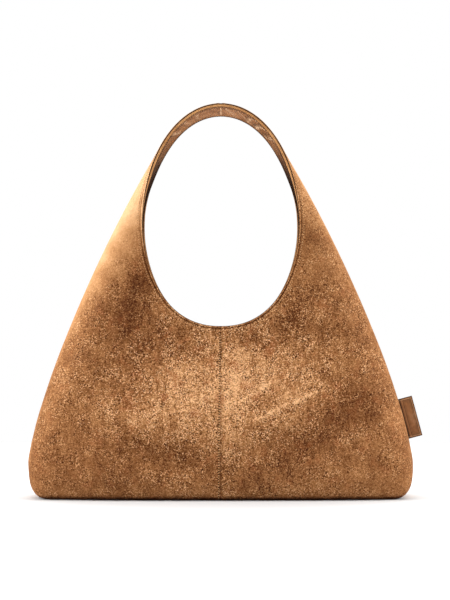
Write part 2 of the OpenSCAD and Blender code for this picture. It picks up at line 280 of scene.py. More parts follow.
def relief(t, w, p, face):
    """How far the leather stands out of the smooth skin; face is -1 in front and 1 behind."""
    x, z = p[..., 0], p[..., 2]
    seen_x = x if face < 0 else -x
    height = np.zeros(x.shape)
    for f in FRONT_FOLDS if face < 0 else BACK_FOLDS:
        height = height + fold(seen_x, z, *f)
    flat = on_face(x, z, face)
    height = height + 0.75 * waves(flat, 95, 3) + 0.3 * waves(flat, 38, 5) + 0.1 * waves(flat, 15, 8)
    from_rim = w * section_length(t)
    from_seam = (1 - w) * section_length(t)
    free = smooth(from_rim, 6, 28) * smooth(from_seam, 2, 30) * smooth(z, 3, 24)
    calm = 1 - 0.8 * smooth(z, 260, 335)
    return height * free * calm


def rim_lip(t, w):
    """The edge rolls up into a narrow lip, with a crease pressed in beside it."""
    from_rim = w * section_length(t)
    lip_lighting = 0.4 * np.exp(-((from_rim - 0.8) / 0.7) ** 2)
    return lip_lighting - 0.7 * np.exp(-((from_rim - 2.2) / 0.5) ** 2)


def seam_groove(t, w, p):
    """The valleys where two panels are sewn together."""
    middle = np.exp(-(p[..., 0] / 0.7) ** 2)
    puff = 0.28 * np.exp(-((np.abs(p[..., 0]) - 3.6) / 1.8) ** 2)
    from_seam = (1 - w) * section_length(t)
    side = np.exp(-(from_seam / 0.9) ** 2) * smooth(p[..., 2], 0.5, 6)
    return -0.55 * middle + puff - 0.7 * side


def shell_points(t, w, depth, half, face, lift=0.0, groove=True):
    """Points of a layer at that depth below the skin, in one quarter: half -1 left, face -1 front."""
    p, n = skin(t, w), skin_normal(t, w)
    up = relief(t, w, p * mirror(half, face), face)
    if groove:
        up = up + seam_groove(t, w, p) + rim_lip(t, w)
    q = p + n * (up - depth + lift)[..., None]
    q[..., 0] = np.where(np.broadcast_to(t, q.shape[:-1]) <= 0, 0, q[..., 0])
    q[..., 0] = np.where(np.broadcast_to(t, q.shape[:-1]) >= 1, 0, q[..., 0])
    q[..., 1] = np.where(np.broadcast_to(w, q.shape[:-1]) >= 1, 0, q[..., 1])
    q[..., 2] = np.maximum(q[..., 2], 0.0)
    return q * mirror(half, face)


# ---------------------------------------------------------------- mesh helpers
def make(name, points, faces, material, sharp=False):
    """A mesh object from points in millimetres, with its rest place kept for the materials."""
    mesh = bpy.data.meshes.new(name)
    points = np.asarray(points, float).reshape(-1, 3) * MM
    mesh.from_pydata(points.tolist(), [], [list(map(int, f)) for f in faces])
    mesh.validate()
    mesh.polygons.foreach_set("use_smooth", [not sharp] * len(mesh.polygons))
    rest = mesh.attributes.new("rest_place", "FLOAT_VECTOR", "POINT")
    rest.data.foreach_set("vector", points.astype(np.float32).ravel())
    mesh.materials.append(material)
    obj = bpy.data.objects.new(name, mesh)
    bpy.context.scene.collection.objects.link(obj)
    return obj


def set_attribute(obj, name, values):
    attribute = obj.data.attributes.new(name, "FLOAT", "POINT")
    attribute.data.foreach_set("value", np.asarray(values, np.float32).ravel())


def sheet_faces(keep, flip=False):
    """Faces of a closed sheet with two grids of points, where keep says which cells are there."""
    n, m = keep.shape
    row, back = m + 1, (n + 1) * (m + 1)
    faces = []
    padded = np.pad(keep, 1)
    for i, j in zip(*np.nonzero(keep)):
        a = i * row + j
        b, c, d = a + 1, a + row + 1, a + row
        faces.append((a, d, c, b))
        faces.append((back + a, back + b, back + c, back + d))
        if not padded[i, j + 1]:
            faces.append((a, b, back + b, back + a))
        if not padded[i + 2, j + 1]:
            faces.append((d, back + d, back + c, c))
        if not padded[i + 1, j]:
            faces.append((a, back + a, back + d, d))
        if not padded[i + 1, j + 2]:
            faces.append((b, c, back + c, back + b))
    return [f[::-1] for f in faces] if flip else faces


def sheet_object(name, outer, inner, material, keep=None, flip=False):
    n, m = outer.shape[0] - 1, outer.shape[1] - 1
    keep = np.ones((n, m), bool) if keep is None else keep
    points = np.concatenate([outer.reshape(-1, 3), inner.reshape(-1, 3)])
    obj = make(name, points, sheet_faces(keep, flip), material)
    if not keep.all():
        bm = bmesh.new()
        bm.from_mesh(obj.data)
        bmesh.ops.delete(bm, geom=[v for v in bm.verts if not v.link_faces], context="VERTS")
        bm.to_mesh(obj.data)
        bm.free()
    return obj


def bend_with_handle(obj):
    """Bakes the object's placing into its mesh; nothing bends it over the handle's fold."""
    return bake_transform(obj)


def tube_faces(rings, sides, base=0, closed=False):
    """Walls of a tube through rings of points numbered from base, joined end to end if closed."""
    faces = []
    for i in range(rings if closed else rings - 1):
        here, there = base + i * sides, base + (i + 1) % rings * sides
        for j in range(sides):
            k = (j + 1) % sides
            faces.append((here + j, here + k, there + k, there + j))
    return faces


def turned(faces):
    """The same faces seen from the other side, each still starting at its first point."""
    return [(f[0], *f[:0:-1]) for f in faces]


PITCH = 2.9


def stepped(path, normal, pitch, closed):
    """Whole steps of about one pitch along a path: how many, how long, and where a run leads."""
    path, normal = np.asarray(path, float), np.asarray(normal, float)
    if closed:
        path, normal = np.vstack([path, path[:1]]), np.vstack([normal, normal[:1]])
    run = np.concatenate([[0], np.cumsum(np.linalg.norm(np.diff(path, axis=0), axis=1))])
    count = max(2, int(round(run[-1] / pitch)))
    at = lambda s: np.stack([np.interp(s, run, path[:, k]) for k in range(3)], -1)
    normal_at = lambda s: np.stack([np.interp(s, run, normal[:, k]) for k in range(3)], -1)
    return count, run[-1] / count, at, normal_at


def pricks(name, path, normal, material, pitch=PITCH, radius=0.5, closed=False):
    """Painted shade of the needle holes where the thread of a row goes in: dark low domes with sunken
    middles.
    """
    count, step, at, normal_at = stepped(path, normal, pitch, closed)
    place = np.arange(count if closed else count + 1) * step
    centre, up = at(place), normal_at(place)
    along = unit(at(np.minimum(place + 0.4, count * step)) - at(np.maximum(place - 0.4, 0)))
    up = unit(up)
    side = np.cross(along, up)
    sides, points, faces = 8, [], []
    for c, n, a, b in zip(centre, up, along, side):
        base = len(points)
        for reach, rise in ((1.0, -0.12), (0.75, 0.07), (0.3, 0.02)):
            for k in range(sides):
                turn = 2 * math.pi * k / sides
                spot = reach * radius * (0.9 * math.cos(turn) * a + math.sin(turn) * b)
                points.append(c + spot + rise * n)
        faces += turned(tube_faces(3, sides, base))
        faces.append(tuple(base + 2 * sides + k for k in reversed(range(sides))))
        faces.append(tuple(base + k for k in range(sides)))
    return make(name, points, faces, material)


def stitches(name, path, normal, material, pitch=PITCH, length=2.1, radius=0.32, closed=False):
    """A row of sewn thread: short arcs that come out of the leather and go back in."""
    count, step, at, normal_at = stepped(path, normal, pitch, closed)
    rings, sides = 5, 6
    points, faces = [], []
    for k in range(count):
        s = (k + 0.5) * step + np.linspace(-0.5, 0.5, rings) * length * step / pitch
        centre, n = at(s), unit(normal_at(s))
        u = np.linspace(-1, 1, rings)
        centre = centre + n * (radius * (0.75 - 1.6 * np.abs(u) ** 3))[:, None]
        along = unit(np.gradient(centre, axis=0))
        side = np.cross(along, n)
        up = np.cross(side, along)
        base = len(points)
        for i in range(rings):
            fat = radius * (1 - 0.35 * abs(u[i]) ** 4)
            for j in range(sides):
                a = 2 * math.pi * j / sides
                points.append(centre[i] + fat * (math.cos(a) * side[i] + math.sin(a) * up[i]))
        faces += tube_faces(rings, sides, base)
        faces.append(tuple(base + j for j in reversed(range(sides))))
        faces.append(tuple(base + (rings - 1) * sides + j for j in range(sides)))
    return make(name, points, faces, material)


# ---------------------------------------------------------------- shaders
class Field:
    """A value over the surface, from a node's output, that can be added, subtracted and multiplied."""

    def __init__(self, shader, socket):
        self.shader, self.socket = shader, socket

    def __add__(self, other):
        return self.shader.math("ADD", self, other)

    def __sub__(self, other):
        return self.shader.math("SUBTRACT", self, other)

    def __mul__(self, other):
        return self.shader.math("MULTIPLY", self, other)


class Shader:
    """Adds nodes to one material in short calls."""

    def __init__(self, name, **constants):
        self.material = bpy.data.materials.new(name)
        self.material.use_nodes = True
        self.tree = self.material.node_tree
        self.surface = self.tree.nodes["Principled BSDF"]
        for socket, value in constants.items():
            self.surface.inputs[socket.replace("_", " ")].default_value = value

    def add(self, kind, settings=None, **inputs):
        """A new node; inputs are named, or numbered as i0, i1 and so on."""
        node = self.tree.nodes.new("ShaderNode" + kind)
        for key, value in (settings or {}).items():
            setattr(node, key, value)
        for key, value in inputs.items():
            self.feed(node.inputs[int(key[1:]) if key[1:].isdigit() else key], value)
        return node

    def fields(self, *node, **inputs):
        return [Field(self, socket) for socket in self.add(*node, **inputs).outputs]

    def feed(self, socket, value):
        if isinstance(value, Field):
            self.tree.links.new(value.socket, socket)
        else:
            socket.default_value = value

    def math(self, operation, a, b=0.0, clamp=False):
        return self.fields("Math", {"operation": operation, "use_clamp": clamp}, i0=a, i1=b)[0]

    def blend(self, factor, a, b):
        return self.fields("MixRGB", {"blend_type": "MIX"}, i0=factor, i1=a, i2=b)[0]

    def attribute(self, name, output):
        return Field(self, self.add("Attribute", {"attribute_name": name}).outputs[output])

    def rest(self):
        return self.attribute("rest_place", "Vector")

    def value(self, name):
        return self.attribute(name, "Fac")

    def own_place(self):
        return Field(self, self.add("TexCoord").outputs["Object"])

    def cells(self, scale, output):
        node = self.add("TexVoronoi", {"feature": "F1"}, Vector=self.rest(), Scale=scale)
        return Field(self, node.outputs[output])

    def noise(self, scale, detail=2.0, rough=0.5, where=None, stretch=None):
        where = where or self.rest()
        if stretch:
            where = self.fields("Mapping", None, Vector=where, Scale=stretch)[0]
        return self.fields("TexNoise", None, Vector=where, Scale=scale, Detail=detail, Roughness=rough)[0]

    def spread(self, value, low, high, to_low=0.0, to_high=1.0):
        settings = {"interpolation_type": "SMOOTHSTEP"}
        return self.fields("MapRange", settings, i0=value, i1=low, i2=high, i3=to_low, i4=to_high)[0]

    def ramp(self, value, stops):
        node = self.add("ValToRGB", None, Fac=value)
        ramp = node.color_ramp
        while len(ramp.elements) < len(stops):
            ramp.elements.new(0.5)
        for element, (place, colour) in zip(ramp.elements, stops):
            element.position = place
            element.color = (*colour, 1)
        return Field(self, node.outputs[0])

    def bump(self, height, strength, distance):
        node = self.add("Bump", None, Strength=strength, Distance=distance, Height=height)
        self.tree.links.new(node.outputs[0], self.surface.inputs["Normal"])

    def colour(self, value):
        self.feed(self.surface.inputs["Base Color"], value)

    def roughness(self, value):
        self.feed(self.surface.inputs["Roughness"], value)


def suede(name, dark=0.0):
    """Distressed suede: soft nap, pale places (wear and painted light) and brown ones (mottling and painted
    shade) from the tone attribute, brown patches and a speckled grain.
    """
    s = Shader(name, Specular_IOR_Level=0.10, Sheen_Weight=0.04, Sheen_Roughness=0.4,
               Sheen_Tint=(0.95, 0.6, 0.3, 1))
    strength = s.value("grain")
    clouds, patches, smudges = s.noise(26, 3, 0.55), s.noise(85, 4, 0.62), s.noise(260, 3, 0.6)
    chance = s.fields("SeparateColor", None, Color=s.cells(1080.0, "Color"))
    dark_specks = s.spread(chance[0], 0.45, 0.08, 0, 1)
    pale_specks = s.spread(chance[1], 0.55, 0.95, 0, 1)
    flecks = s.spread(s.noise(520, 1, 0.5), 0.30, 0.70, -1, 1)
    density = s.spread(s.noise(60, 3, 0.6), 0.38, 0.60, 0.55, 1.15)
    grain = (pale_specks * 0.85 - dark_specks * 0.95 + flecks * 0.12) * density
    nap = s.noise(150, 3, 0.62, stretch=(1, 1, 0.26))
    cracks = s.math("ABSOLUTE", s.noise(30, 4, 0.6, stretch=(1, 1, 0.16)) - 0.5)
    broken = s.spread(s.noise(50, 2, 0.6), 0.46, 0.60) * s.spread(flecks, -0.6, 0.5)
    cracks = s.spread(cracks, 0.0, 0.016, 1, 0) * broken * strength
    tone = s.value("tone") + -dark
    for field, share in ((clouds, 0.20), (patches, 0.13), (smudges, 0.20)):
        tone = tone + (field - 0.5) * share
    tone = tone + (nap - 0.5) * strength * 0.62 + grain * strength * 0.72
    colour = s.ramp(s.math("SUBTRACT", tone, cracks * 0.42, clamp=True), [
        (0.0, (0.055, 0.012, 0.0012)),
        (0.22, (0.137, 0.044, 0.011)),
        (0.5, (0.300, 0.124, 0.042)),
        (0.75, (0.54, 0.265, 0.108)),
        (1.0, (0.82, 0.48, 0.245)),
    ])
    red = s.spread(s.noise(75, 3, 0.62), 0.54, 0.70, 0, 0.36)
    s.colour(s.blend(red * strength, colour, (0.37, 0.115, 0.038, 1)))
    s.roughness(s.spread(smudges, 0.3, 0.7, 0.85, 0.6))
    s.bump(grain * 0.25 + smudges * 0.5 + s.noise(2600, 2, 0.6) * 0.35 - cracks * 0.5, 0.7, 0.0009)
    return s.material


def smooth_leather(name, low, high, rough=0.42, crease=1.0, worn_and_shaded=False):
    """Smooth waxed leather with pores and fine creases, optionally darkened and paled by attributes:
    burnished edges, wear, painted shade and painted highlights.
    """
    s = Shader(name, Specular_IOR_Level=0.14)
    clouds = s.noise(45, 3, 0.6)
    lines = s.noise(240, 5, 0.7, stretch=(1, 0.35, 1))
    colour = s.blend(s.spread(clouds, 0.3, 0.7), (*low, 1), (*high, 1))
    colour = s.blend(s.spread(lines, 0.35, 0.75, 0, 0.45), colour, tuple(1.35 * c for c in high) + (1,))
    if worn_and_shaded:
        # The dark attribute holds burnished edges and painted shade; the pale one holds wear and painted
        # highlights.
        colour = s.blend(s.value("dark"), colour, (0.020, 0.0065, 0.002, 1))
        colour = s.blend(s.value("rubbed_and_lit"), colour, (0.95, 0.62, 0.36, 1))
    s.colour(colour)
    s.roughness(s.spread(clouds, 0.3, 0.7, rough + 0.12, rough - 0.06))
    s.bump(s.cells(900.0, "Distance") * 0.4 + lines * (0.8 * crease), 0.35, 0.0006)
    return s.material


def twill(name, base, light, scale=1500.0):
    """Woven lining: diagonal ribs crossed by single yarns."""
    s = Shader(name, Specular_IOR_Level=0.08, Roughness=0.9, Sheen_Weight=0.04)
    x, y, z = s.fields("SeparateXYZ", None, Vector=s.rest())
    across = x + y * 0.6
    rib = s.math("SINE", (across + z) * (scale * 2.4))
    yarn = s.math("SINE", (across - z) * (scale * 5.2))
    weave = rib * 0.35 + yarn * 0.15 + 0.5
    s.colour(s.blend(weave * 0.6 + s.noise(55, 3, 0.6) * 0.4, (*base, 1), (*light, 1)))
    s.bump(weave, 0.5, 0.0004)
    return s.material


def metal(name, colour, rough):
    """Brushed and lightly handled metal."""
    s = Shader(name, Metallic=1.0)
    brushed = s.noise(900, 2, 0.6, where=s.own_place(), stretch=(0.06, 1, 1))
    smears = s.noise(160, 3, 0.6, where=s.own_place())
    darker = tuple(0.72 * c for c in colour)
    s.colour(s.blend(s.spread(smears, 0.35, 0.7), (*colour, 1), (*darker, 1)))
    s.roughness(s.spread(brushed, 0.3, 0.7, rough - 0.08, rough + 0.12))
    s.bump(brushed, 0.12, 0.0002)
    return s.material


def plain(name, low, high, rough, scale=300.0, strength=0.3, **constants):
    """Felt, board, nylon or paint: two near colours with a fine texture."""
    s = Shader(name, **constants)
    cloud = s.noise(scale * 0.2, 3, 0.6, where=s.own_place())
    grain = s.noise(scale, 4, 0.65, where=s.own_place())
    s.colour(s.blend(s.spread(cloud, 0.3, 0.7), (*low, 1), (*high, 1)))
    s.roughness(s.spread(grain, 0.3, 0.7, rough + 0.06, rough - 0.06))
    s.bump(grain, strength, 0.0004)
    return s.material


SUEDE = suede("suede")
SUEDE_BASE = suede("suede_base", dark=0.08)
EDGE_SUEDE = smooth_leather("turned_suede", (0.36, 0.16, 0.055), (0.52, 0.26, 0.10), rough=0.7)
FACING = smooth_leather("facing_leather", (0.22, 0.078, 0.020), (0.39, 0.160, 0.048), rough=0.5, worn_and_shaded=True)
TRIM = smooth_leather("trim_leather", (0.19, 0.072, 0.022), (0.29, 0.122, 0.040), rough=0.5, worn_and_shaded=True)
LABEL = smooth_leather("label_leather", (0.19, 0.075, 0.026), (0.26, 0.110, 0.040), rough=0.5, crease=0.6,
                       worn_and_shaded=True)
PAINT = plain("edge_paint", (0.028, 0.009, 0.0025), (0.05, 0.018, 0.005), 0.6, 700.0, 0.25,
              Specular_IOR_Level=0.12)
THREAD = plain("thread", (0.56, 0.29, 0.12), (0.72, 0.40, 0.18), 0.7, 2500.0, 0.5,
               Specular_IOR_Level=0.15)
# Near-black for the needle holes: painted shade inside them.
HOLE_SHADE = plain("needle_hole_shading", (0.015, 0.004, 0.001), (0.03, 0.01, 0.003), 0.9, 900.0, 0.2,
             Specular_IOR_Level=0.0)
THREAD_DARK = plain("thread_dark", (0.06, 0.024, 0.008), (0.09, 0.036, 0.012), 0.7, 2500.0, 0.5,
                    Specular_IOR_Level=0.15)
LINING = twill("lining_twill", (0.25, 0.145, 0.080), (0.44, 0.285, 0.170))
FELT = plain("stay_felt", (0.60, 0.56, 0.48), (0.70, 0.66, 0.58), 0.95, 500.0, 0.5, Sheen_Weight=0.2)
BOARD = plain("base_board", (0.02, 0.02, 0.02), (0.035, 0.034, 0.032), 0.6, 400.0, 0.3)
TAPE = twill("zip_tape", (0.08, 0.045, 0.025), (0.15, 0.09, 0.05), 2600.0)
NYLON = plain("zip_nylon", (0.10, 0.055, 0.03), (0.15, 0.085, 0.045), 0.35, 900.0, 0.1)
BRASS = metal("antique_brass", (0.62, 0.43, 0.20), 0.34)


# ---------------------------------------------------------------- outer panels
def rows_up_to(end, spacing):
    """Rows of t: fine beside the middle seam, round the base's end and at the crown."""
    first = np.array([0, 0.5, 1.0, 1.6, 2.4, 3.4, 4.6, 6.2, 8.4]) * CORNER_T / BASE_END
    base = np.linspace(first[-1], ROUND_T, int(150 / spacing) + 1)[1:]
    turn = lerp(ROUND_T, CORNER_T, np.sin(np.linspace(0, np.pi / 2, int(66 / spacing) + 1)))[1:]
    corner = np.linspace(CORNER_T, SIDE_T, int(70 / spacing) + 1)[1:]
    side_end = min(end, ARCH_T)
    side_rows = int(400 / spacing * (side_end - SIDE_T) / 0.42)
    side = np.linspace(SIDE_T, side_end, side_rows + 1)[1:]
    rows = [first, base, turn, corner, side]
    if end > ARCH_T:
        arch = np.linspace(ARCH_T, 0.985, int(110 / spacing) + 1)[1:]
        rows += [arch, np.array([0.989, 0.992, 0.9945, 0.9965, 0.998, 0.999, 1.0])]
    return np.concatenate(rows)


# Distances from the rim of the first columns, fine enough for its lip and crease
RIM_COLUMNS = [0, 0.4, 0.8, 1.2, 1.6, 1.9, 2.2, 2.5, 2.9, 3.5, 4.2, 4.9, 5.8, 6.8, 8.2]


def columns(t, count):
    """Columns of w for each t: fine beside the rim, then even up to where the wall ends."""
    length = section_length(t)[:, None]
    near = np.array(RIM_COLUMNS)[None, :] / length
    u = np.linspace(0, 1, count + 1)[None, 1:]
    even = near[:, -1:] + (wall_end(t)[:, None] - near[:, -1:]) * (u + 0.05 * np.sin(2 * np.pi * u))
    return np.concatenate([near, even], 1)


def wall_end(t):
    """Where the wall gives way to the base panel: the base ends in a half round."""
    parts = section(t)[-1]
    share = np.clip((outline(t)[..., 0] - BASE_END + BASE_ROUND) / BASE_ROUND, 0, 1)
    w = (parts[0] + parts[1]) / sum(parts)
    return np.where(t >= CORNER_T, 1.0, 1 - (1 - w) * np.sqrt(1 - share ** 2))


def soft_spot(x, z, cx, cz, rx, rz, height, tilt=0.0):
    a = math.radians(tilt)
    u = (x - cx) * math.cos(a) + (z - cz) * math.sin(a)
    v = -(x - cx) * math.sin(a) + (z - cz) * math.cos(a)
    return height * np.exp(-((u / rx) ** 2 + (v / rz) ** 2) / 2)


# (x, z, reach along, reach across, tone, tilt) of the pale and brown places on the front: partly mottling,
# partly painted light and painted shade of dents and folds
FRONT_SPOTS = [
    (-94, 245, 36, 10, -0.27, 68),
    (-110, 180, 34, 18, -0.13, 80),
    (-84, 146, 38, 12, -0.08, 75),
    (-38, 124, 34, 30, 0.16, 90),
    (14, 138, 40, 9, 0.13, 85),
    (-86, 97, 34, 13, 0.10, 12),
    (-92, 66, 46, 10, -0.08, -22),
    (-38, 47, 42, 11, -0.09, -18),
    (-132, 34, 46, 15, -0.08, 0),
    (34, 124, 42, 30, 0.19, 60),
    (42, 110, 13, 10, -0.26, 20),
    (102, 68, 56, 12, -0.20, 32),
    (138, 124, 34, 16, -0.07, 80),
    (50, 187, 44, 13, -0.13, 0),
    (-52, 184, 38, 13, -0.13, -30),
    (102, 291, 15, 14, -0.18, 90),
    (82, 214, 24, 13, -0.15, 55),
    (64, 38, 60, 12, -0.05, 8),
]
# The same for the back: partly mottling, partly painted light and painted shade of dents and folds
BACK_SPOTS = [
    (-20, 124, 60, 32, 0.14, -10),
    (92, 240, 42, 12, -0.22, 110),
    (104, 168, 34, 22, -0.14, 100),
    (-104, 244, 40, 12, -0.22, 70),
    (-96, 66, 58, 16, -0.16, -18),
    (76, 48, 60, 15, -0.13, 12),
    (40, 96, 16, 12, -0.14, 20),
    (-44, 188, 40, 13, -0.14, 0),
]


def side_light_bands(t, w, p):
    """Painted light: the smooth pale bands along the side seams where the side lamps light the rounding,
    broad on the left shoulder, narrow on the right.
    """
    x, z = p[..., 0], p[..., 2]
    from_seam = (1 - w) * section_length(t)
    high = smooth(z, 110, 280) * (1 - 0.6 * smooth(z, 350, 430))
    left = (0.14 + 0.30 * high) * np.exp(-(from_seam / (28 + 26 * high)) ** 2)
    right = 0.20 * np.exp(-(from_seam / 9) ** 2) + 0.10 * np.exp(-(from_seam / 34) ** 2)
    return lerp(left, right, smooth(x, -60, 60))


def middle_of(x, z):
    """One at the middle of a face, falling away round it."""
    return np.exp(-((x / 110) ** 2 + ((z - 135) / 80) ** 2) / 2)


def tone_of(t, w, p, face):
    """Paleness of the suede: random mottling and worn creases, with painted light at the sides, middle and
    shoulders, and painted shade in dents, beside the rim and along the foot.
    """
    x, z = p[..., 0] * (1 if face < 0 else -1), p[..., 2]
    from_rim = w * section_length(t)
    # Painted light: paler in the middle of the face, in the side bands and towards the top, where the lamps
    # fall.
    tone = 0.437 + 0.07 * middle_of(x, z) + side_light_bands(t, w, p) + 0.12 * smooth(z, 220, 330)
    for spot in FRONT_SPOTS if face < 0 else BACK_SPOTS:
        tone = tone + soft_spot(x, z, *spot)
    flat = on_face(x, z, face)
    tone = tone + 0.03 * waves(flat, 60, 21) + 0.035 * waves(flat, 26, 22)
    low = 1 - 0.7 * smooth(z, 230, 300)
    # Painted highlight on the rolled lip and painted shade in the crease beside it, the shade fading high
    # up.
    lip_lighting = 0.14 * np.exp(-((from_rim - 0.7) / 0.6) ** 2) - 0.5 * low * np.exp(-((from_rim - 2.1) / 0.6) ** 2)
    seam = -0.16 * np.exp(-(x / 0.5) ** 2)
    # Painted shade along the lowest 5 mm, where the wall turns under towards the floor, with a thin painted
    # highlight on the rounded edge just above.
    foot = 0.06 * np.exp(-((z - 10) / 4) ** 2) - 0.55 * (1 - smooth(z, 0.5, 5.5))
    creases = sum(fold(x, z, a, b, bow, 0.9 * width, 1.0) for a, b, bow, width, tall
                  in (FRONT_FOLDS if face < 0 else BACK_FOLDS) if width < 4 and tall > 0)
    worn = 0.75 + 0.4 * waves(flat, 9, 23)
    return tone + lip_lighting + seam + foot + 0.36 * creases * np.clip(worn, 0.1, 1.2)


def grain_of(t, w, p, face):
    """Strength of the speckle, strongest over the middle of the face."""
    smoothed = np.clip(2.6 * side_light_bands(t, w, p), 0, 0.85)
    return (0.42 + 0.72 * middle_of(p[..., 0], p[..., 2])) * (1 - smoothed)


# How far the topstitch lies from the rim, from the middle seam and, inside, from the facing's edge
RIM_ROW, SEAM_ROW, FACING_ROW = 4.6, 2.4, 3.4


def outer_panel(name, half, face, *nodes):
    t = rows_up_to(1.0, 2.8)
    w = columns(t, 92)
    tt = np.broadcast_to(t[:, None], w.shape)
    outer = shell_points(tt, w, 0.0, half, face)
    inner = shell_points(tt, w, SUEDE_T, half, face)
    inner[..., 2] = np.where(outer[..., 2] <= 0.01, np.maximum(inner[..., 2], SUEDE_T), inner[..., 2])
    obj = sheet_object(name, outer, inner, SUEDE, flip=half * face < 0)
    p = skin(tt, w) * mirror(half, face)
    for attribute, field in (("tone", tone_of), ("grain", grain_of)):
        values = field(tt, w, p, face).ravel()
        set_attribute(obj, attribute, np.concatenate([values, values]))
    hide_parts(*nodes)
    return bend_with_handle(obj)


SIDES = {"left": -1, "right": 1}
FACES = {"front": -1, "back": 1}
for face_name, face in FACES.items():
    for side_name, half in SIDES.items():
        outer_panel(f"panel_{face_name}_{side_name}", half, face,
                    f"{face_name}_panel_{side_name}", f"handle_{face_name}_{side_name}")


# ---------------------------------------------------------------- rim: edge paint and topstitch
def loop_of(field):
    """A whole loop round the opening from a function of (t, half), left half then right."""
    t = rows_up_to(1.0, 3.0)
    right = field(t, 1)
    left = field(t, -1)
    return np.concatenate([right, left[::-1][1:-1]])


def rim_tube(name, face, profile, material):
    """A closed profile of (out, deep) points swept round the opening's edge."""
    rings = []
    for out, deep in profile:
        def place(t, half, out=out, deep=deep):
            w = np.zeros_like(t)
            p, n = skin(t, w), skin_normal(t, w)
            inwards = unit(skin(t, w + 0.012) - p)
            q = p - n * deep - inwards * out
            q[(t <= 0) | (t >= 1), 0] = 0
            return q * mirror(half, face)
        rings.append(loop_of(place))
    rings = np.stack(rings, 1)
    faces = tube_faces(*rings.shape[:2], closed=True)
    obj = make(name, rings, faces if face < 0 else [f[::-1] for f in faces], material)
    return bend_with_handle(obj)


# (out, deep) round the painted edge, and round the suede turned in behind it
PAINT_PROFILE = [(-0.5, 0.25), (0.1, -0.1), (0.42, 0.02), (0.6, 0.35), (0.62, 0.75), (0.35, 0.98),
                 (-0.6, 1.0), (-0.7, 0.6)]
TURNED_PROFILE = [(-0.6, 1.02), (0.2, 1.04), (0.62, 1.4), (0.76, 2.1), (0.7, 2.9), (0.35, 3.5), (-0.2, 3.75),
                  (-0.7, 3.7), (-0.8, 2.4)]


def rim_stitch(name, face, distance, depth, outward, thread, holes=False):
    def path(t, half):
        w = distance / section_length(t)
        return shell_points(t, w, depth, half, face, groove=False)

    def normal(t, half):
        w = distance / section_length(t)
        return skin_normal(t, w) * mirror(half, face) * outward

    places, normals = loop_of(path), loop_of(normal)
    bend_with_handle(stitches(name, places, normals, thread, closed=True))
    if holes:
        bend_with_handle(pricks(name + "_holes", places, normals, HOLE_SHADE, closed=True, radius=0.42))


for face_name, face in FACES.items():
    rim_tube(f"edge_paint_{face_name}", face, PAINT_PROFILE, PAINT)
    rim_tube(f"turned_edge_{face_name}", face, TURNED_PROFILE, EDGE_SUEDE)
    rim_stitch(f"rim_stitch_{face_name}", face, RIM_ROW, 0.0, 1, THREAD, holes=True)
    rim_stitch(f"facing_stitch_{face_name}", face, FACING_ROW, FACING_IN + FACING_T + 0.6, -1,
               THREAD_DARK)


# ---------------------------------------------------------------- seams
def seam_stitch(name, half, face):
    """Topstitch beside the middle seam, offset to one side of it."""
    w = np.linspace(0.03, 0.985, 160)
    t = np.full_like(w, SEAM_ROW * CORNER_T / BASE_END)
    p = shell_points(t, w, -0.08, half, face)
    n = skin_normal(t, w) * mirror(half, face)
    keep = p[:, 2] > 1.0
    for piece in (stitches(name, p[keep], n[keep], THREAD, radius=0.4, length=1.8),
                  pricks(name + "_holes", p[keep] + 0.15 * n[keep], n[keep], HOLE_SHADE, radius=0.85)):
        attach(piece, "bag_body")


seam_stitch("middle_stitch_front", -1, -1)
seam_stitch("middle_stitch_back", 1, 1)


# ---------------------------------------------------------------- facings, stays and lining
def band_end(t):
    """How far the facing and its stay reach in from the rim."""
    return np.minimum(0.7, FACING_W / section_length(np.minimum(t, JOIN_T)))


def both_halves(t, w, depth, face):
    """A layer from the left end over the middle to the right end."""
    left = shell_points(t[::-1], w[::-1], depth, -1, face, groove=False)
    right = shell_points(t, w, depth, 1, face, groove=False)
    return np.concatenate([left[:-1], right])


def age_facing(obj, from_edge, rubbed_and_lit=None, shade=0.0):
    """The handle's legs are darkened as painted shade, painted shade lies beside creases where given, and
    every edge is burnished; the crown is not dark.
    """
    count = len(obj.data.vertices)
    place = np.empty(3 * count)
    obj.data.vertices.foreach_get("co", place)
    z = place.reshape(-1, 3)[:, 2] / MM
    # Painted shade on the handle's legs, whose inner faces look into the dim bag.
    legs_shade = 0.93 * smooth(z, 225, 290) * (1 - smooth(z, 370, 420))
    burnished = 0.92 * np.exp(-(np.concatenate([from_edge.ravel()] * 2) / 1.5) ** 2)
    set_attribute(obj, "dark", np.maximum(np.maximum(legs_shade, burnished), shade))
    set_attribute(obj, "rubbed_and_lit", np.zeros(count) if rubbed_and_lit is None else rubbed_and_lit)


def body_band(name, face, start, end, depth, thick, material, nodes, count=20, spacing=4.0):
    t = rows_up_to(JOIN_T, spacing)[:, None]
    low, high = start(t[:, 0])[:, None], end(t[:, 0])[:, None]
    w = low + (high - low) * np.linspace(0, 1, count)[None, :]
    tt = np.broadcast_to(t, w.shape).copy()
    outer, inner = both_halves(tt, w, depth, face), both_halves(tt, w, depth + thick, face)
    obj = sheet_object(name, outer, inner, material, flip=face < 0)
    if material is FACING:
        from_edge = w * section_length(tt)
        age_facing(obj, np.concatenate([from_edge[::-1][:-1], from_edge]))
    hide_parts(*nodes)
    return bend_with_handle(obj)


def rim_start(t):
    return 0 * t


for face_name, face in FACES.items():
    body_band(f"mouth_stay_{face_name}", face, rim_start, band_end, STAY_IN, STAY_T, FELT,
              [f"{face_name}_mouth_stay"], count=8, spacing=8.0)
    body_band(f"mouth_facing_{face_name}", face, rim_start, band_end, FACING_IN, FACING_T, FACING,
              [f"{face_name}_facing"], count=14)
    cloth = body_band(f"lining_{face_name}", face, lambda t: band_end(t) - 0.008, wall_end, LINING_IN,
                      LINING_T, LINING, [f"{face_name}_lining"], count=44)


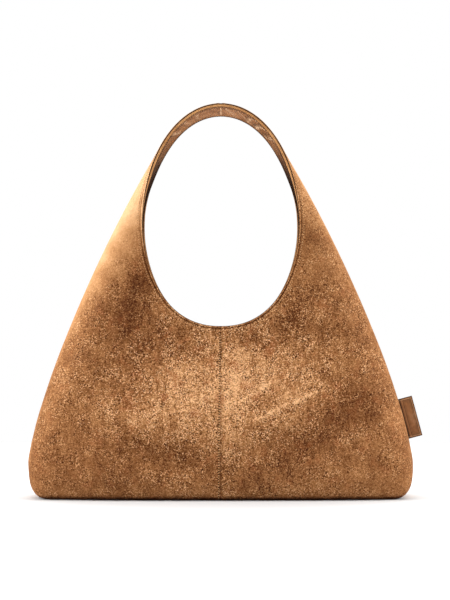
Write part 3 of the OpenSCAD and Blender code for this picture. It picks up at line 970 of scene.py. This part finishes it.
def crease_height(p):
    """Creases that cross the handle's inner face near its crown."""
    height = 0
    for x, lean, width, tall in ((-52, 0.2, 1.4, 1.2), (-40, 0.26, 1.3, 0.9), (-28, 0.18, 1.1, 0.6),
                                 (0, 0, 0.7, 1.1), (11, 0.3, 1.1, 0.7), (24, 0.34, 1.1, 0.5),
                                 (36, -0.22, 1.3, 0.9), (47, -0.2, 1.5, 1.3), (57, -0.28, 1.3, 0.9)):
        bow = 1.4 * np.sin(p[..., 1] / 9 + x) if lean else 0
        d = p[..., 0] - x - lean * p[..., 1] - bow
        reach = np.exp(-((p[..., 1] + 12 * math.cos(3 * x)) / 26) ** 4) if lean else 1
        height = height + tall * reach * np.exp(-(d / width) ** 2)
    return height


def handle_layer(name, half, depth, thick, material, nodes, creased=False):
    t = rows_up_to(1.0, 3.0)
    t = t[t >= JOIN_T][:, None]
    v = np.linspace(0, 2, 49)[None, :]
    tt, vv = np.broadcast_arrays(t, v)

    def place(d):
        w = np.where(vv <= 1, vv, 2 - vv)
        front = shell_points(tt, w, d, half, -1, groove=False)
        rear = shell_points(tt, w, d, half, 1, groove=False)
        q = np.where((vv <= 1)[..., None], front, rear)
        if creased:
            sides = [np.full(w.shape, half), np.where(vv <= 1, 1, -1), np.ones(w.shape)]
            n = skin_normal(tt, w) * np.stack(sides, -1)
            edge = smooth(np.minimum(vv, 2 - vv) * section_length(tt), 5, 9)
            q = q - n * (crease_height(q) * edge)[..., None]
            q[-1, :, 0] = 0
        return q

    outer, inner = place(depth), place(depth + thick)
    obj = sheet_object(name, outer, inner, material, flip=half > 0)
    if material is FACING:
        from_edge = np.minimum(vv, 2 - vv) * section_length(tt)
        worn = np.clip(0.8 + 0.5 * waves(inner, 12, 41), 0.1, 1.3) * smooth(from_edge, 3, 7)
        # Crease crests paler, as wear and painted highlight, with painted shade laid beside each crease.
        rubbed_and_lit = np.clip(0.9 * crease_height(inner) * worn, 0, 0.75).ravel()
        shade = np.clip(0.55 * crease_height(inner + np.array([2.8, 0, 0])) * worn, 0, 0.7).ravel()
        age_facing(obj, from_edge, np.concatenate([rubbed_and_lit, rubbed_and_lit]), np.concatenate([shade, shade]))
    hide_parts(*nodes)
    return bend_with_handle(obj)


for side_name, half in SIDES.items():
    handle_layer(f"handle_stay_soft_{side_name}", half, STAY_IN, STAY_T, FELT,
                 [f"handle_stay_{side_name}"])
    handle_layer(f"handle_lining_leather_{side_name}", half, FACING_IN, FACING_T, FACING,
                 [f"handle_facing_{side_name}"], creased=True)


# ---------------------------------------------------------------- base
def base_outline(inset, count=24):
    """Half of the base's edge, from the back over the right end to the front."""
    turn = lerp(ROUND_T, CORNER_T, np.sin(np.linspace(0, np.pi / 2, count)))
    t = np.concatenate([np.linspace(0, ROUND_T, count), turn[1:]])
    share = np.clip((outline(t)[..., 0] - BASE_END + BASE_ROUND) / BASE_ROUND, 0, 1)
    end = section(t)[6]
    depth = -end[..., 1]
    c = np.sqrt(1 - share ** 2)
    return np.stack([outline(t)[..., 0] - inset * share, depth * c - inset * c], -1)


def base_sheet(name, inset, low, thick, material, node, rows=17):
    edge = base_outline(inset)
    x = np.concatenate([-edge[::-1][:-1, 0], edge[:, 0]])
    y = np.concatenate([edge[::-1][:-1, 1], edge[:, 1]])
    s = np.sin(np.linspace(-np.pi / 2, np.pi / 2, rows))
    grid = np.stack([np.broadcast_to(x[:, None], (len(x), rows)), y[:, None] * s[None, :],
                     np.full((len(x), rows), low)], -1)
    top = grid + np.array([0, 0, thick])
    obj = sheet_object(name, top, grid, material, flip=True)
    if "suede" in material.name:
        tone = 0.42 + 0.04 * waves(np.concatenate([top.reshape(-1, 3), grid.reshape(-1, 3)]), 40, 31)
        set_attribute(obj, "tone", tone)
        set_attribute(obj, "grain", np.full(len(tone), 0.5))
    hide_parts(node)
    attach(obj, "bag_body")
    return obj


base_sheet("base_suede", 0.35, 0.0, SUEDE_T, SUEDE_BASE, "base_panel")
base_sheet("base_twill", 0.6, LINING_IN, LINING_T, LINING, "base_lining")


# ---------------------------------------------------------------- hanging pockets and zip
POCKET_HALF, POCKET_LOW, POCKET_TOP = 100.0, 38.0, MOUTH_Z - FACING_W - 2.5
POCKET_T, POCKET_REAR = 0.6, 30.0
SLIP_FACE, SLIP_TOP, BINDING_H = 27.4, 140.0, 9.0
ZIP_FACE, ZIP_Z, ZIP_HALF, WINDOW_H = 26.4, 144.0, 90.0, 10.0
COIL_Y = ZIP_FACE + POCKET_T + 0.35
SAG = 2.2


def stretches(*stops, spacing=3.0):
    """Even places between stops, with each stop among them."""
    parts = [np.linspace(a, b, max(2, int((b - a) / spacing) + 2))[:-1] for a, b in zip(stops, stops[1:])]
    return np.concatenate(parts + [[stops[-1]]])


def ripple(x, z, seed):
    flat = np.stack([x, 0 * x, 0.5 * z], -1)
    return 0.32 * waves(flat, 70, seed) + 0.14 * waves(flat, 24, seed + 1)


def hung_panel(name, face, x, z, near, nodes, thick=POCKET_T, material=LINING, window=None):
    """Cloth hung against a wall of the bag: near(x, z) is how far its inner side is from the middle."""
    xx, zz = np.meshgrid(x, z, indexing="ij")
    depth = near(xx, zz)
    inner = np.stack([xx, face * depth, zz], -1)
    outer = np.stack([xx, face * (depth + thick), zz], -1)
    keep = None
    if window:
        mid_x, mid_z = (x[1:] + x[:-1]) / 2, (z[1:] + z[:-1]) / 2
        keep = ~((np.abs(mid_x) < window[0])[:, None] & (np.abs(mid_z - window[1]) < window[2])[None, :])
    obj = sheet_object(name, inner, outer, material, keep=keep, flip=face < 0)
    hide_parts(*nodes)
    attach(obj, "bag_body")
    return obj


def from_sides(x, z, top):
    """How far a place is from the pocket's sewn edges; top is None where it is open."""
    gap = np.minimum(POCKET_HALF - np.abs(x), z - POCKET_LOW)
    return gap if top is None else np.minimum(gap, top - z)


def slip_face(x, z):
    gape = SAG * np.sin(np.pi * (x + POCKET_HALF) / (2 * POCKET_HALF)) * smooth(z, POCKET_LOW, 120)
    free = smooth(from_sides(x, z, None), 1.5, 9)
    return lerp(POCKET_REAR - POCKET_T - 0.1, SLIP_FACE - gape + 0.8 * ripple(x, z, 61), free)


def zip_face(x, z):
    gap = from_sides(x, z, POCKET_TOP)
    hem = np.maximum(np.abs(x) - ZIP_HALF - 3, np.abs(z - ZIP_Z) - WINDOW_H / 2)
    ridge = 0.35 * np.exp(-((hem - 1.1) / 0.9) ** 2)
    slack = smooth(hem, 4, 20) * (0.9 * ripple(x, z, 65) - 0.9 * smooth(130 - z, 0, 60))
    return lerp(POCKET_REAR - POCKET_T - 0.1, ZIP_FACE - ridge + slack, smooth(gap, 1.5, 8))


def rear_panel(x, z):
    return POCKET_REAR + 0.5 * np.clip(ripple(x, z, 69), 0, 1)


def binding(x, z):
    """Leather folded over the slip pocket's edge, following the gape of the cloth."""
    rise = (z - SLIP_TOP) / BINDING_H
    swell = 0.35 * np.sin(np.pi * np.clip(rise, 0, 1)) ** 0.5
    return slip_face(x, np.full(x.shape, SLIP_TOP)) - 0.5 - swell


def flat_stitches(name, face, path, near, thread=THREAD):
    """Topstitch on the inner side of a hung panel, through (x, z) points."""
    places = []
    for (x0, z0), (x1, z1) in zip(path, path[1:]):
        n = max(2, int(math.hypot(x1 - x0, z1 - z0) / 2))
        places.append(np.stack([np.linspace(x0, x1, n), np.linspace(z0, z1, n)], -1))
    x, z = np.concatenate(places).T
    points = np.stack([x, face * near(x, z), z], -1)
    normals = np.broadcast_to((0, -face, 0), points.shape)
    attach(stitches(name, points, normals, thread), "bag_body")


def pockets():
    x = stretches(-POCKET_HALF, -POCKET_HALF + 10, POCKET_HALF - 10, POCKET_HALF)
    tall = stretches(POCKET_LOW, POCKET_LOW + 9, POCKET_TOP)
    slip_rear = hung_panel("slip_pocket_rear_cloth", -1, x, tall, rear_panel, ["slip_pocket_back"])
    slip = hung_panel("slip_pocket_face_cloth", -1, x, stretches(POCKET_LOW, POCKET_LOW + 9, SLIP_TOP + 5),
                      slip_face, ["slip_pocket_front"])
    hung_panel("slip_pocket_edge_leather", -1, x, stretches(SLIP_TOP, SLIP_TOP + BINDING_H, spacing=0.8),
               binding, ["slip_pocket_binding"], thick=1.9, material=TRIM)
    zip_rear = hung_panel("zip_pocket_rear_cloth", 1, x, tall, rear_panel, ["zip_pocket_back"])
    end, low, high = ZIP_HALF + 3, ZIP_Z - WINDOW_H / 2, ZIP_Z + WINDOW_H / 2
    wide = stretches(-POCKET_HALF, -end - 3, -end, -end + 3, end - 3, end, end + 3, POCKET_HALF, spacing=2.4)
    deep = stretches(POCKET_LOW, POCKET_LOW + 9, low - 3, low, high, high + 3, POCKET_TOP, spacing=1.6)
    zip_front = hung_panel("zip_pocket_face_cloth", 1, wide, deep, zip_face, ["zip_pocket_front"],
                           window=(end, ZIP_Z, WINDOW_H / 2))
    side, foot = POCKET_HALF - 2.2, POCKET_LOW + 2.2
    for name, face, top, near in (("slip", -1, SLIP_TOP, slip_face), ("zip", 1, POCKET_TOP - 2, zip_face)):
        path = [(-side, top), (-side, foot), (side, foot), (side, top)]
        flat_stitches(f"{name}_pocket_stitch", face, path, near)
    flat_stitches("binding_stitch", -1, [(-side, SLIP_TOP + 2), (side, SLIP_TOP + 2)], binding, THREAD_DARK)
    far, under, over = end + 2, low - 2, high + 2
    window = [(-far, under), (far, under), (far, over), (-far, over), (-far, under)]
    flat_stitches("window_stitch", 1, window, zip_face)


def zip_tapes():
    x = stretches(-ZIP_HALF - 8, ZIP_HALF + 8, spacing=2.0)
    for name, side in (("upper", 1), ("lower", -1)):
        edges = sorted([ZIP_Z + side * 1.7, ZIP_Z + side * 2.6, ZIP_Z + side * 9.85])
        bead = lambda xx, zz: COIL_Y - 0.25 - 0.18 * np.exp(-((np.abs(zz - ZIP_Z) - 2.2) / 0.4) ** 2)
        hung_panel(f"zip_{name}_tape", 1, x, stretches(*edges, spacing=0.5), bead, [f"zip_tape_{name}"],
                   thick=0.45, material=TAPE)


def zip_teeth():
    """Two nylon spirals whose turns mesh half a pitch apart."""
    pitch, wire, sides, steps = 1.5, 0.24, 6, 12
    turns = int(2 * ZIP_HALF / pitch) - 1
    points, faces = [], []
    for side in (1, -1):
        a = np.linspace(0, 2 * np.pi * turns, turns * steps + 1)
        x = -ZIP_HALF + (a / (2 * np.pi) + (0.75 if side > 0 else 0.25)) * pitch
        centre = np.stack([x, COIL_Y + 0.42 * np.sin(a), ZIP_Z + side * (1.15 - 1.25 * np.cos(a))], -1)
        along = unit(np.gradient(centre, axis=0))
        u = unit(np.cross(along, (1, 0, 0)))
        v = np.cross(along, u)
        base = len(points) * sides
        for k in range(len(centre)):
            turn = 2 * np.pi * np.arange(sides)[:, None] / sides
            points.append(centre[k] + wire * (np.cos(turn) * u[k] + np.sin(turn) * v[k]))
        faces += turned(tube_faces(len(centre), sides, base))
        faces.append(tuple(base + j for j in range(sides)))
        faces.append(tuple(base + (len(centre) - 1) * sides + j for j in reversed(range(sides))))
    obj = make("zip_coil_teeth", points, faces, NYLON)
    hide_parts("zip_coil")
    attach(obj, "bag_body")


pockets()
zip_tapes()
zip_teeth()


# ---------------------------------------------------------------- closure tabs
TAB_W, TAB_T = 34.0, 2.4
TAB_Z = MOUTH_Z - 6.5
TAB_ROOT = HALF_GAP - FACING_IN - FACING_T - 1.5
SNAP_MALE_H, SNAP_GAP, SNAP_FEMALE_H = 1.5, 0.2, 3.5
FRONT_TAB_Z = TAB_Z - TAB_T / 2 - SNAP_MALE_H - SNAP_GAP - SNAP_FEMALE_H - TAB_T / 2
# (inset, share of half the thickness) from the edge of a tab in to its middle
TAB_PROFILE = [(0, 0), (0.12, 0.55), (0.4, 0.85), (0.9, 1.0), (2.0, 1.0), (2.5, 0.86), (3.0, 0.8),
               (3.5, 0.88), (4.2, 1.0), (6, 1.02), (9, 1.03), (13, 1.03), (16.2, 1.03)]


def tab_ring(root, inset):
    """Outline of a tab with one round end, seen from above; the round end lies at negative y."""
    r = TAB_W / 2 - inset
    rows = np.linspace(root - min(inset, 3.0), 0, 13)
    turn = np.linspace(0, np.pi, 33)
    left = np.stack([np.full(13, -r), rows], -1)
    end = np.stack([-r * np.cos(turn), -r * np.sin(turn)], -1)
    right = np.stack([np.full(13, r), rows[::-1]], -1)
    back = np.stack([np.linspace(r, -r, 13), np.full(13, rows[0])], -1)
    return np.concatenate([left, end[1:-1], right, back[1:-1]])


def closure_tab(name, root, z, face, node):
    """Leather tab with burnished edges, a pressed line under its stitches and a round end."""
    levels = [(inset, -high) for inset, high in reversed(TAB_PROFILE)] + TAB_PROFILE[1:]
    rings, dark = [], []
    for inset, high in levels:
        xy = tab_ring(root, inset)
        rise = high * TAB_T / 2 + 0.12 * np.sin(xy[:, 1] / 6) * (high != 0)
        rings.append(np.column_stack([xy[:, 0], face * xy[:, 1], z + rise]))
        dark.append(np.full(len(xy), math.exp(-(inset / 0.8) ** 2) * 0.9))
    rings = np.array(rings)
    n, m = rings.shape[:2]
    faces = tube_faces(n, m)
    faces += [tuple(reversed(range(m))), tuple((n - 1) * m + j for j in range(m))]
    if face < 0:
        faces = [f[::-1] for f in faces]
    obj = make(name, rings, faces, TRIM)
    set_attribute(obj, "dark", dark)
    set_attribute(obj, "rubbed_and_lit", 0.15 * np.clip(waves(rings.reshape(-1, 3), 9, 71), 0, 1))
    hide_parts(node)
    row = tab_ring(root, 3.0)
    path = np.column_stack([row[:, 0], face * row[:, 1], np.full(len(row), z + 0.4 * TAB_T)])
    row_obj = stitches(name + "_stitch", path, np.broadcast_to((0, 0, 1), path.shape), THREAD, closed=True)
    return obj, row_obj


for obj in closure_tab("closure_tab_lower_leather", TAB_ROOT + 4.2, FRONT_TAB_Z, -1, "closure_tab_front"):
    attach(obj, "bag_body")
for obj in closure_tab("closure_tab_upper_leather", TAB_ROOT + 1.9, TAB_Z, 1, "closure_tab_back"):
    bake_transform(obj)


# ---------------------------------------------------------------- side label
LABEL_TILT = math.radians(14.8)
LABEL_U = np.array([math.cos(LABEL_TILT), 0, math.sin(LABEL_TILT)])
LABEL_V = np.array([-math.sin(LABEL_TILT), 0, math.cos(LABEL_TILT)])
LABEL_ROOT = np.array([HALF_W - 9.3, 0, 89.2])
LABEL_T, LABEL_AXIS = 2.4, 1.7
LABEL_H = 47.0
LABEL_OUT = 15.0


def pressed_border(u, v):
    """A plain line pressed into the leather all round, and a second one inside it."""
    gap = np.minimum(np.minimum(u - 2.0, LABEL_AXIS + LABEL_OUT - u), LABEL_H / 2 - np.abs(v))
    return 0.34 * np.exp(-((gap - 2.9) / 0.42) ** 2) + 0.16 * np.exp(-((gap - 4.4) / 0.3) ** 2)


def side_label():
    """Leather strip folded double, its fold outermost and its two ends sewn into the side seam."""
    half, r, end = LABEL_T / 2, LABEL_T / 2, LABEL_AXIS + LABEL_OUT
    front = [(u, -half) for u in stretches(-3.0, 2.0, end - r, spacing=0.28)]
    fold = [(end - r + r * math.sin(a), -r * math.cos(a)) for a in np.linspace(0, math.pi, 13)[1:-1]]
    back = [(u, half) for u, _ in reversed(front)]
    slit = [(-3.0, 0.1), (end - 1.4, 0.1), (end - 1.2, 0), (end - 1.4, -0.1), (-3.0, -0.1)]
    profile = np.array(front + fold + back + slit)
    v = stretches(-LABEL_H / 2, -LABEL_H / 2 + 0.9, LABEL_H / 2 - 0.9, LABEL_H / 2, spacing=0.28)
    u, y = np.broadcast_arrays(profile[None, :, 0], profile[None, :, 1])
    u, y, v = u + 0 * v[:, None], y + 0 * v[:, None], v[:, None] + 0 * u
    outside = np.abs(y) > 0.3
    ends = np.clip(1 - (LABEL_H / 2 - np.abs(v)) / 0.9, 0, 1)
    thin = 1 - 0.35 * ends ** 2
    sunk = np.where(outside & (np.abs(y) > 0.9 * half), pressed_border(u, v), 0)
    y = np.where(outside, np.sign(y) * (np.abs(y) * thin - sunk), y)
    cup = 0.35 * np.sin(np.pi * (v / LABEL_H + 0.5)) * smooth(u, 2, end)
    points = LABEL_ROOT + u[..., None] * LABEL_U + v[..., None] * LABEL_V
    points[..., 1] += y - cup
    n, m = u.shape
    faces = turned(tube_faces(n, m))
    faces += [tuple(range(m)), tuple((n - 1) * m + j for j in reversed(range(m)))]
    obj = make("side_label_leather", points, faces, LABEL)
    border = np.minimum(LABEL_H / 2 - np.abs(v), np.clip(end - u, 0, None))
    # The edges carry dark edge paint; the root is darkened as a painted shadow where the label goes into the
    # side seam, and the pressed lines as painted shade.
    root = np.exp(-(np.maximum(u - 1.2, 0) / 1.3) ** 2)
    set_attribute(obj, "dark", np.clip(0.95 * np.exp(-(border / 1.05) ** 2) + 0.95 * root
                                       + 1.9 * pressed_border(u, v), 0, 0.95))
    wear = np.clip(waves(points, 8, 81), 0, 1.2) * smooth(u, 3, 8)
    # Pale wear, and a painted highlight on the ridge just inside the edges.
    lip_lighting = np.exp(-((border - 1.9) / 0.4) ** 2)
    set_attribute(obj, "rubbed_and_lit", np.clip((0.04 * wear + 0.25 * lip_lighting) * smooth(border, 1, 2), 0, 1))
    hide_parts("side_label")
    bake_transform(obj)


side_label()


# ---------------------------------------------------------------- stage
def show(name, data):
    obj = bpy.data.objects.new(name, data)
    bpy.context.scene.collection.objects.link(obj)
    return obj


def aim(obj, place, target):
    obj.location = place
    obj.rotation_euler = (Vector(target) - Vector(place)).to_track_quat("-Z", "Y").to_euler()


def studio_world(lit_by):
    """White to look at, but only a dim, even light on the bag."""
    world = bpy.data.worlds.new("studio")
    world.use_nodes = True
    tree = world.node_tree
    seen = tree.nodes["Background"]
    seen.inputs["Color"].default_value = (1, 1, 1, 1)
    seen.inputs["Strength"].default_value = 1.0
    dim = tree.nodes.new("ShaderNodeBackground")
    dim.inputs["Color"].default_value = (1, 1, 1, 1)
    dim.inputs["Strength"].default_value = lit_by
    choose = tree.nodes.new("ShaderNodeMixShader")
    path = tree.nodes.new("ShaderNodeLightPath")
    tree.links.new(path.outputs["Is Camera Ray"], choose.inputs[0])
    tree.links.new(dim.outputs[0], choose.inputs[1])
    tree.links.new(seen.outputs[0], choose.inputs[2])
    tree.links.new(choose.outputs[0], tree.nodes["World Output"].inputs["Surface"])
    bpy.context.scene.world = world


def overhead(power):
    """A very large, soft light straight above, which keeps the whole floor white."""
    light = bpy.data.lights.new("overhead", "SUN")
    light.energy = power
    light.angle = math.radians(70)
    show("overhead", light).rotation_euler = (math.radians(-14), 0, 0)


def softbox(name, place, size, power):
    light = bpy.data.lights.new(name, "AREA")
    light.shape = "RECTANGLE"
    light.size, light.size_y = size
    light.energy = power
    aim(show(name, light), place, (0, 0, 0.22))


def floor(radius=1.1, sides=96):
    """A pale disc with a painted soft shadow: a little greyer close to the bag."""
    s = Shader("floor", Roughness=0.9, Specular_IOR_Level=0.1)
    wide = s.fields("Mapping", None, Vector=s.own_place(), Scale=(1 / 0.50, 1 / 0.30, 1))[0]
    away = Field(s, s.add("VectorMath", {"operation": "LENGTH"}, i0=wide).outputs["Value"])
    # Painted contact shadow: a darker floor colour in an ellipse round the bag.
    shadow_grey = s.spread(away, 0.30, 1.0, 0.64, 0.90)
    s.colour(s.fields("CombineColor", None, i0=shadow_grey, i1=shadow_grey, i2=shadow_grey)[0])
    mesh = bpy.data.meshes.new("floor")
    turn = np.linspace(0, 2 * math.pi, sides + 1)[:-1]
    mesh.from_pydata([(radius * math.cos(a), radius * math.sin(a), 0) for a in turn], [], [range(sides)])
    mesh.materials.append(s.material)
    show("floor", mesh)


def camera():
    data = bpy.data.cameras.new("camera")
    data.sensor_width = 36
    data.lens = 77.6
    obj = show("camera", data)
    aim(obj, (0.0048, -1.5, 0.150), (0.0048, 0, 0.227))
    bpy.context.scene.camera = obj


def stage():
    studio_world(0.27)
    overhead(3.0)
    softbox("left_box", (-1.25, -0.25, 0.65), (0.45, 1.0), 17)
    softbox("right_box", (1.25, -0.2, 0.65), (0.45, 1.0), 15)
    softbox("front_box", (-0.15, -1.7, 1.1), (0.7, 0.6), 6)
    floor()
    camera()
    bpy.context.scene.view_settings.view_transform = "Standard"


stage()


def cad_parts(names):
    return [o for o in bpy.context.scene.objects if o.get("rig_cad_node") in names]


def paint_cad(material, names):
    for o in cad_parts(names):
        o.data.materials.clear()
        o.data.materials.append(material)


def round_edges(width, names):
    for o in cad_parts(names):
        bevel = o.modifiers.new("edges", "BEVEL")
        bevel.width = width * MM
        bevel.segments = 3
        bevel.limit_method = "ANGLE"


HARDWARE = ["zip_stops", "zip_slider", "zip_pull", "snap_female", "snap_male", "snap_washer_front",
            "snap_washer_back"]
paint_cad(BOARD, ["base_board"])
paint_cad(BRASS, HARDWARE)
round_edges(0.22, HARDWARE)
